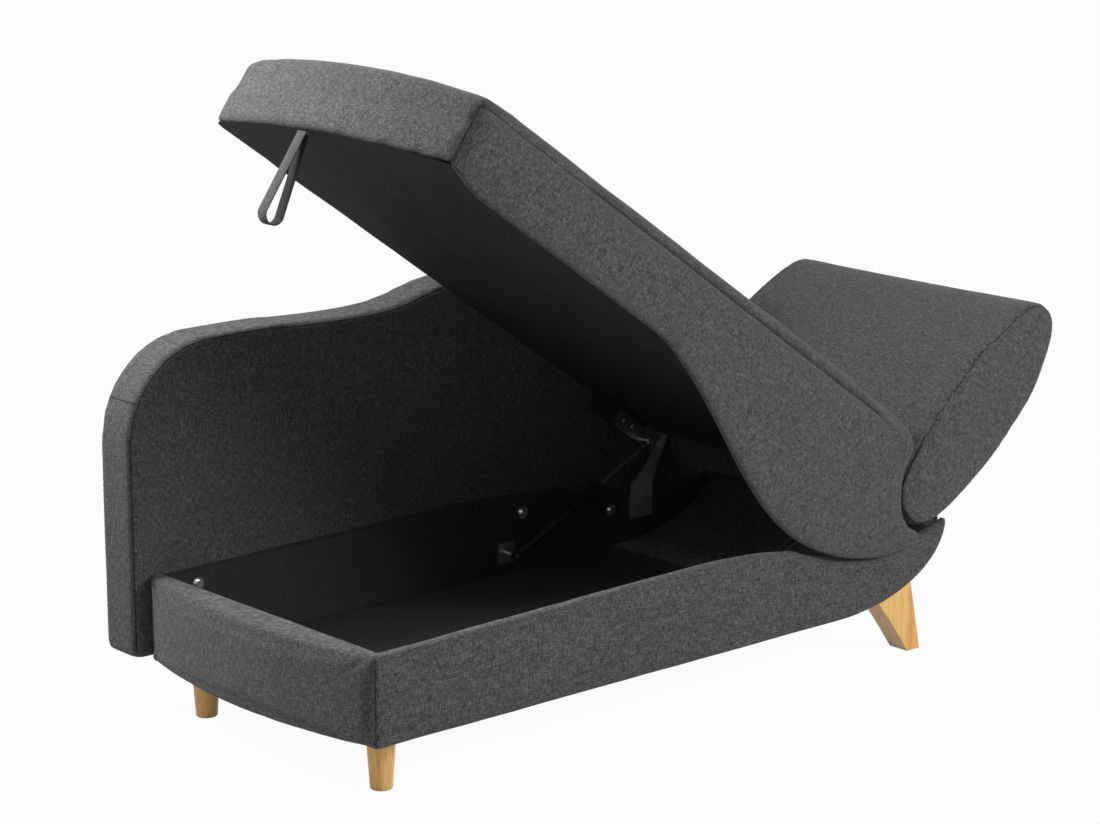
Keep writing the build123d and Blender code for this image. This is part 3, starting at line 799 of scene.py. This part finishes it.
# Back panel
def panel_outline():
    """Side view of the back panel, from its foot bottom round by its top."""
    foot_x, head_x = panel_x
    foot_shoulder = panel_foot_top - panel_foot_r
    head_shoulder = panel_head_top - panel_head_r
    crest = [(foot_x + panel_foot_r, panel_foot_top), panel_level, panel_dip, panel_rise, panel_swell]
    crest += [(head_x - panel_head_r, panel_head_top)]
    points = line((foot_x, panel_bottom), (foot_x, foot_shoulder), 40)
    points += arc((foot_x + panel_foot_r, foot_shoulder), panel_foot_r, 180, 90, 30)[:-1]
    points += through(crest, 40)[:-1]
    points += arc((head_x - panel_head_r, head_shoulder), panel_head_r, 90, 0, 30)[:-1]
    points += line((head_x, head_shoulder), (head_x, panel_bottom), 40)
    points += line((head_x, panel_bottom), (foot_x, panel_bottom), 80)
    return points


panel = panel_outline()
back_cover = soft_slab("back_panel_fabric", shrunk(panel, -panel_proud), base_side,
                       panel_y[0] + panel_gap, panel_y[1] - panel_inset, cover_round)
even_out(back_cover, soft_voxel, rounds=4)
spots = points_of(back_cover)
rim = away(np.stack([spots[:, 0] - corner_x, spots[:, 2]], axis=1), panel) < panel_rim
beside_lid = (spots[:, 1] < corner_y + panel_y[0] + panel_held) & (spots[:, 2] < closed_seat)
swell(back_cover, rim | beside_lid, cap=0.005)
finer(back_cover)
rumple(back_cover, size=0.11, depth=0.0006)
dress(back_cover, level_fabric, "base")
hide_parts("back_pad_front", "back_core", "back_pad_rear")

panel_run = [p for p in panel if p[1] > panel_bottom + panel_seam_low]
panel_seams = (panel_y[0] + panel_seam_front, panel_y[1] - panel_seam_rear)
for name, y in zip(("front", "rear"), panel_seams):
    seam(f"back_panel_seam_{name}", back_cover, [base_side(p, y) for p in panel_run], "base")
strip = [base_point(panel_x[0], y, panel_strip_seam) for y in np.linspace(*panel_seams, 40)]
seam("back_panel_strip_seam", back_cover, strip, "base")

# Seat: crowned top with its foot band
lid_width = lid_y[1] - lid_y[0]


def bow_at(y):
    """How far the foot end bows out at y."""
    t = (2 * y - lid_y[0] - lid_y[1]) / lid_width
    return lid_foot_bow * (1 - t * t)


def seat_ring(y):
    """Section of the seat across the lid at y."""
    near = min(1.0, (y - lid_y[0]) / edge_roll)
    far = min(1.0, (lid_y[1] - y) / far_roll)
    rise = edge_rise * sqrt(1 - (1 - near) ** 2) + crown * bow_at(y) / lid_foot_bow
    rise -= far_drop * (1 - sqrt(1 - (1 - far) ** 2))
    foot_u = lid_foot_u - bow_at(y)
    crest = (foot_u + foot_roll, seam_foot_v + rise)
    top = (seam_head[0], seam_head[1] + rise)
    end = [(lid_end_top[0], top[1]), (lid_end_top[0] + lid_end_lean, lid_end_top[1])]
    points = line(lid_end_low, (lid_inner_u, rail_top), 60)
    points += line((lid_inner_u, rail_top), (lid_inner_u, lid_under), 4)
    points += line((lid_inner_u, lid_under), (foot_u, lid_under), 4)
    points += line((foot_u, lid_under), (foot_u, seam_foot_v), 12)
    points += bezier((foot_u, seam_foot_v), (foot_u, crest[1]), (foot_u + foot_roll / 3, crest[1]), crest, 14)
    points += line(crest, top, 60)
    points += bezier(top, *end, lid_end_mid, 14)
    points += line(lid_end_mid, lid_end_low, 5)
    return [(u, y, v) for u, v in points]


def round_corners(points):
    """Pulls the lid's two foot corners in to a round, seen from above the lid."""
    u, v, y = lid_flat(points)
    near = y < (lid_y[0] + lid_y[1]) / 2
    from_edge = np.where(near, y - lid_y[0], lid_y[1] - y)
    across = np.clip((corner_r - from_edge) / corner_r, 0, None)
    reach = corner_r + bow_at(np.clip(y, *lid_y))
    along = np.clip((lid_foot_u + corner_r - u) / reach, 0, None)
    far = np.maximum(np.hypot(across, along), 1.0)
    turned = (across > 0) & (along > 0) & (far > 1.0)
    u = np.where(turned, lid_foot_u + corner_r - along / far * reach, u)
    from_edge = np.where(turned, corner_r - across / far * corner_r, from_edge)
    y = np.where(near, lid_y[0] + from_edge, lid_y[1] - from_edge)
    return lid_spots(u, v, y)


stations = [lid_y[0] + lid_width * (1 - cos(pi * k / 40)) / 2 for k in range(41)]
seat_top = loft("seat_fabric", [seat_ring(y) for y in stations])
even_out(seat_top, soft_voxel, rounds=2)
to_lid(seat_top)
spots = points_of(seat_top)
u, v, y = lid_flat(spots)
seam_at = np.interp(u, (lid_foot_u, seam_head[0], lid_end_mid[0]),
                    (seam_foot_v, seam_head[1], lid_end_mid[1]))
tuck = (y < lid_y[0] + side_thick) & (v < seam_at - seam_lap) & (u > lid_foot_u + tuck_foot_in)
roll = (y < lid_y[0] + edge_roll) & ~tuck & (v > seam_at - seam_lap)
y = np.where(tuck, lid_y[0] + side_thick, y)
y = np.where(roll, y - near_proud * np.clip((lid_y[0] + edge_roll - y) / edge_roll, 0, 1), y)
put_points(seat_top, round_corners(lid_spots(u, v, y)))
held = (v < rail_top + held_above_rail) | tuck | (u > held_head_u)
swell(seat_top, held, cap=0.006)
finer(seat_top)
rumple(seat_top, size=0.10, depth=0.0009)


def slab_tool(name, outline, near, far):
    """Straight cutter through the lid's plane."""
    return loft(name, [[lid_point(u, y, v) for u, v in outline] for y in (near, far)])


def both_sides(span):
    """A span of y and its mirror on the far side."""
    return span, (mirror_sum - span[1], mirror_sum - span[0])


slot_box = [(hinge_slot_u[0], hinge_slot_v[0]), (hinge_slot_u[1], hinge_slot_v[0]),
            (hinge_slot_u[1], hinge_slot_v[1]), (hinge_slot_u[0], hinge_slot_v[1])]
cut(seat_top, *(slab_tool("hinge_slot", slot_box, *span) for span in both_sides(hinge_slot_y)))
dress(seat_top, lid_fabric, "lid")
seat_top.data.materials.append(lining_black)
lid_down = lid_point(0, 0, -1) - lid_point(0, 0, 0)
for face in seat_top.data.polygons:
    below_rail = (face.center - lid_point(0, 0, rail_top)).dot(lid_down)
    if face.normal.dot(lid_down) > lining_facing and below_rail < lining_depth:
        face.material_index = 1
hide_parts("seat_cushion")

# Near side panel with its skirt
top_line = line((side_foot_u, seam_foot_v), seam_head, 200)
seam_end = bezier(seam_head, (lid_end_top[0], seam_head[1]), (lid_end_top[0] + lid_end_lean, seam_head[1]),
                  notch[0], 16)
skirt = bezier(lip_low, skirt_rise, (skirt_turn_u, skirt_low[1]), skirt_low, 24)
skirt += bezier(skirt_low, (skirt_dive_u, skirt_low[1]), (skirt_ease_u, hem_v), (skirt_start_u, hem_v), 30)
side_outline = top_line + seam_end + through(notch + [lip_top], 8)[:-1]
side_outline += bezier(lip_top, (lip_round_u, lip_top[1]), (lip_round_u, lip_low[1]), lip_low, 10) + skirt
side_outline += line((skirt_start_u, hem_v), (hem_ease_u, hem_v), 30)
side_outline += bezier((hem_ease_u, hem_v), (hem_ease_u - hem_ease_reach, hem_v),
                       (lid_foot_u + hem_foot_reach, hem_foot_v), (side_foot_u, hem_foot_v), 10)
side_outline += line((side_foot_u, hem_foot_v), (side_foot_u, seam_foot_v), 8)
seat_side = soft_slab("seat_side_fabric", side_outline, lid_side, lid_y[0], lid_y[0] + side_thick, side_round)
even_out(seat_side, fine_voxel, rounds=5)
to_lid(seat_side)
spots = round_corners(points_of(seat_side))
u, v, y = lid_flat(spots)
edge = away(np.stack([u, v], axis=1), side_outline)
outer = y < lid_y[0] + side_thick / 2
spots[outer, 1] -= side_bulge * np.tanh(edge[outer] / side_bulge_run)
put_points(seat_side, spots)
rumple(seat_side, size=0.08, depth=0.0008)
dress(seat_side, lid_fabric, "lid")
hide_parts("seat_side_panel")

near_line = [lid_point(p[0], lid_y[0] + side_seam_in, p[1]) for p in top_line + seam_end]
seam("seat_near_seam", seat_side, near_line, "lid", depth=0.0012)
foot_line = round_corners(np.array([lid_point(side_foot_u, lid_y[0] + side_thick - side_seam_in, v)
                                    for v in np.linspace(hem_foot_v + side_seam_low, seam_foot_v, 60)]))
seam("seat_corner_seam", seat_side, [Vector(p) for p in foot_line], "lid", depth=0.0015)


dust_v = lid_under - dust_under
dust_y = (lid_y[0] + side_thick, lid_y[1] - dust_far_in)
rows = []
for b in np.linspace(*dust_y, 70):
    from_edge = min(corner_r, lid_y[1] - b)
    corner = corner_r - sqrt(corner_r ** 2 - (corner_r - from_edge) ** 2)
    foot = lid_foot_u - bow_at(b) + corner + dust_in
    row = []
    for a in np.linspace(foot, dust_notch_u, 120):
        slack = np.clip((a - foot - dust_flat) / dust_ease, 0, 1)
        spot = Vector((a * dust_waves[0], b * dust_waves[1], dust_waves[2]))
        sag = dust_sag + dust_wave * (1 + noise.noise(spot))
        row.append(lid_point(a, b, dust_v - slack * sag))
    rows.append(row)
dust_cover = grid("dust_cover_cloth", rows)
dress(dust_cover, lining_black, "lid")
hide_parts("lid_dust_cover")

far_v = (lid_under - far_edge_under, rail_top + far_edge_lap)
far_edge = grid("lid_far_edge_cloth", [
    [lid_point(a, lid_y[1] + far_edge_out, b) for b in np.linspace(*far_v, 10)]
    for a in np.linspace(lid_foot_u + corner_r, lid_rail_head_u, 120)])
dress(far_edge, lid_fabric, "lid")


def wall_top(x):
    """Height of the base's top edge over its length."""
    return np.interp(x, (foot_rail, base_crest[0], base_drop[0]),
                     (base_top_foot, base_crest[1], base_drop[1]))


def well_wall(name, plan, node):
    """Black lining up one wall of the storage well, along a line in plan."""
    rows = []
    for x, y, out_x, out_y in plan:
        row = []
        for z in np.linspace(floor_top + lining_low, wall_top(x) - lining_top_gap, 24):
            spot = Vector((x * lining_waves[0], y * lining_waves[0], z * lining_waves[1]))
            lift = lining_wave * (1 + noise.noise(spot))
            row.append(base_point(x + out_x * lift, y + out_y * lift, z))
        rows.append(row)
    wall = grid(name, rows)
    dress(wall, lining_black, "base")
    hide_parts(node)


along = np.linspace(lining_foot_x, lining_end_x, 90)
across = np.linspace(front_board_in, rear_board_in, 60)
well_wall("well_front_cloth", [(x, front_board_in + lining_in, 0, 1) for x in along],
          "lining_front")
well_wall("well_rear_cloth", [(x, rear_board_in - lining_in, 0, -1) for x in along],
          "lining_rear")
well_wall("well_foot_cloth", [(lining_foot_x, y, 1, 0) for y in across], "lining_foot")

# Bolster
teardrop = np.array(through(bolster_outline, 12, closed=True))
upper = np.clip((teardrop[:, 1:] - bolster_pivot[1] - bolster_proud_from) / bolster_proud_run, 0, 1)
teardrop = teardrop + upper * (shrunk(teardrop, -bolster_proud) - teardrop)
bolster = soft_slab("bolster_fabric", teardrop, lid_side,
                    lid_y[0] + bolster_end_in, lid_y[1] - bolster_end_in, pad_round)
even_out(bolster, bolster_voxel, rounds=4)
to_lid(bolster)
spots = points_of(bolster)
u, v, y = lid_flat(spots)
rim = away(np.stack([u, v], axis=1), teardrop) < bolster_rim
ends = (y < lid_y[0] + bolster_held) | (y > lid_y[1] - bolster_held)
swell(bolster, ends & rim, cap=0.006)
finer(bolster)
rumple(bolster, size=0.10, depth=0.0009)
for name, y in (("front", lid_y[0] + bolster_seam_in), ("rear", lid_y[1] - bolster_seam_in)):
    seam(f"bolster_seam_{name}", bolster, [lid_point(p[0], y, p[1]) for p in teardrop], "bolster",
         cyclic=True, depth=0.007)
cut(bolster, *(slab_tool("arm_slot", arm_slot, *span) for span in both_sides(arm_slot_y)))
dress(bolster, lid_fabric, "bolster")
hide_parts("bolster_cushion")


# Pull strap: flat loop from the lid's foot edge
def strap_line():
    """Loop of the strap in its own plane, neck at zero, hanging along minus v."""
    lean = np.arcsin((strap_bend_r - strap_neck_r) / strap_reach)
    bend = [(strap_bend_r * cos(a), -strap_reach + strap_bend_r * sin(a))
            for a in np.linspace(-lean, -pi + lean, strap_steps)]
    start = (strap_neck_r * cos(lean), 0.0)
    end = (-start[0], 0.0)
    return line(start, bend[0], strap_steps) + bend[:-1] + line(bend[-1], end, strap_steps) + [end]


strap_rows = []
run = strap_line()
for k, (a, b) in enumerate(run):
    before = np.array(run[max(k - 1, 0)])
    after = np.array(run[min(k + 1, len(run) - 1)])
    along = (after - before) / np.linalg.norm(after - before)
    normal = np.array((-along[1], along[0]))
    ring = []
    for side, out in ((-0.5, -0.5), (-0.5, 0.5), (0.5, 0.5), (0.5, -0.5)):
        p = np.array((a, b)) + normal * strap_thick * out
        turned_u = p[0] * cos(strap_lean) - p[1] * sin(strap_lean)
        turned_v = p[0] * sin(strap_lean) + p[1] * cos(strap_lean)
        ring.append(Vector((strap_neck.x + turned_u * lid_cos + turned_v * lid_sin,
                            strap_neck.y + side * strap_width,
                            strap_neck.z - turned_u * lid_sin + turned_v * lid_cos)))
    strap_rows.append(ring)
strap = loft("strap_webbing", strap_rows)
dress(strap, webbing, "strap")
strap.data.materials.append(webbing_painted_shade)
# Faces turned to the inside of the loop take the darker webbing: painted shade where the loop shades itself.
middle = sum((p for ring in strap_rows for p in ring), Vector()) / (4 * len(strap_rows))
for face in strap.data.polygons:
    if face.normal.dot(middle - face.center) > 0 and abs(face.normal.y) < strap_edge_facing:
        face.material_index = 1
bevel = strap.modifiers.new("edge", "BEVEL")
bevel.width = 0.0006
bevel.segments = 2
apply_modifiers(strap)
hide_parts("pull_strap")

# Materials on the solids that show
legs = ("foot_leg_front", "foot_leg_rear", "head_leg_front", "head_leg_rear")
by_material = {
    oak_wood: legs,
    bright_zinc: ("back_bolt_1", "back_bolt_2", "back_bolt_3", "strut_rod_front", "strut_rod_rear"),
    fitting_zinc: ("hinge_bracket_front", "hinge_bracket_rear", "lift_arm_front", "lift_arm_rear",
                   "strut_bracket_front", "strut_bracket_rear", "bolster_arm_front", "bolster_arm_rear",
                   "bolster_leaf_front", "bolster_leaf_rear", "leg_plate_front", "leg_plate_rear"),
    strut_paint: ("strut_tube_front", "strut_tube_rear"),
    level_fabric: ("head_board",),
    lining_black: ("storage_floor", "rear_board",
                   "seat_deck", "seat_rail_head", "seat_brace_foot", "seat_brace_head", "seat_rail_foot",
                   "front_board", "foot_board", "hinge_block_front", "hinge_block_rear"),
    lid_fabric: ("seat_rail_rear", "seat_rail_front"),
    board_wood: ("bolster_core",),
}
for material, names in by_material.items():
    for name in names:
        nodes[name].data.materials.clear()
        nodes[name].data.materials.append(material)

for name in legs:
    bevel = nodes[name].modifiers.new("edge", "BEVEL")
    bevel.width = 0.0025
    bevel.segments = 3
    bevel.limit_method = "ANGLE"


# Floor, light and camera
def background_rays(tree):
    """1 for rays that show the background: from the camera, a gloss or a clear piece."""
    path = tree.nodes.new("ShaderNodeLightPath")
    shown = path.outputs["Is Camera Ray"]
    for kind in ("Is Glossy Ray", "Is Transmission Ray"):
        either = tree.nodes.new("ShaderNodeMath")
        either.operation = "MAXIMUM"
        tree.links.new(shown, either.inputs[0])
        tree.links.new(path.outputs[kind], either.inputs[1])
        shown = either.outputs[0]
    return shown


def scaled(tree, value, share):
    """A value times a number."""
    node = tree.nodes.new("ShaderNodeMath")
    node.operation = "MULTIPLY"
    node.inputs[1].default_value = share
    tree.links.new(value, node.inputs[0])
    return node.outputs[0]


floor_span = (-floor_reach, floor_reach)
floor = grid("floor", [[(x, y, 0.0) for x in floor_span] for y in floor_span])
floor_material, tree, shader = new_material("floor")
grainy = mapped_noise(tree, scale=3, detail=2)
tree.links.new(ramp(tree, grainy, [(0.0, (0.56, 0.56, 0.56)), (1.0, (0.58, 0.58, 0.58))]),
               shader.inputs["Base Color"])
shader.inputs["Roughness"].default_value = 0.9
white = tree.nodes.new("ShaderNodeEmission")
mix = tree.nodes.new("ShaderNodeMixShader")
tree.links.new(scaled(tree, background_rays(tree), floor_whiteness), mix.inputs["Fac"])
tree.links.new(shader.outputs["BSDF"], mix.inputs[1])
tree.links.new(white.outputs["Emission"], mix.inputs[2])
tree.links.new(mix.outputs["Shader"], tree.nodes["Material Output"].inputs["Surface"])
floor.data.materials.append(floor_material)

world = bpy.data.worlds.new("studio")
scene.world = world
world.use_nodes = True
tree = world.node_tree
background = tree.nodes["Background"]
background.inputs["Color"].default_value = (1, 1, 1, 1)
strength = tree.nodes.new("ShaderNodeMapRange")
strength.inputs["To Min"].default_value = room_light
strength.inputs["To Max"].default_value = 1.0
tree.links.new(background_rays(tree), strength.inputs["Value"])
tree.links.new(strength.outputs["Result"], background.inputs["Strength"])


def lamp(name, place, target, power, size, spread):
    """Soft square lamp aimed at a point, its light kept to a cone of spread degrees."""
    light = bpy.data.lights.new(name, "AREA")
    light.energy = power
    light.size = size
    light.spread = radians(spread)
    lamp_object = bpy.data.objects.new(name, light)
    scene.collection.objects.link(lamp_object)
    lamp_object.location = place
    lamp_object.rotation_euler = (Vector(target) - Vector(place)).to_track_quat("-Z", "Y").to_euler()


lamp("key", (-1.8, 1.5, 2.5), target=(-0.75, 0, 1.0), power=22, size=1.0, spread=70)
lamp("fill", (2.0, -4.2, 2.9), target=(0.1, 0, 0.7), power=165, size=2.0, spread=180)

camera = bpy.data.objects.new("camera", bpy.data.cameras.new("camera"))
camera.data.sensor_width = camera_sensor
camera.data.lens = camera_lens
camera.location = base_point(*camera_place)
camera.rotation_euler = (pi / 2 - camera_pitch, 0, -camera_yaw)
scene.collection.objects.link(camera)
scene.camera = camera
scene.view_settings.view_transform = "Standard"
